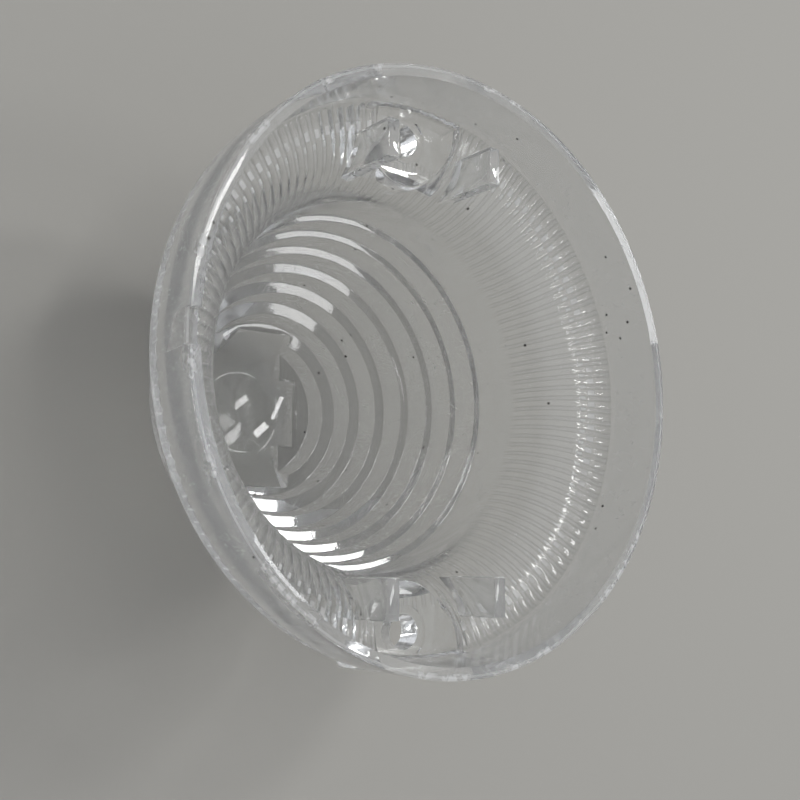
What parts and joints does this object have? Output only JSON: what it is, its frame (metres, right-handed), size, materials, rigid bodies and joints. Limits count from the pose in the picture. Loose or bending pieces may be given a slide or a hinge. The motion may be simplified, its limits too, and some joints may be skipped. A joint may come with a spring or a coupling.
{
  "type": "tail light lens",
  "caption": "Clear round screw-on vehicle lamp lens: open skirt, fluted shoulder, stepped dome, screw lugs with pockets and locating ribs.",
  "frame": {"origin": "centre of the flat nose, at the lowest point", "axes": "+Z along the lens axis from the nose to the open rim, Y through the two screw holes, -X towards the raised lip"},
  "size_m": [0.095, 0.095, 0.072],
  "materials": {
    "clear_plastic": "clear moulded acrylic, polished"
  },
  "bodies": {
    "root": {"lens": "clear_plastic"}
  },
  "joints": []
}
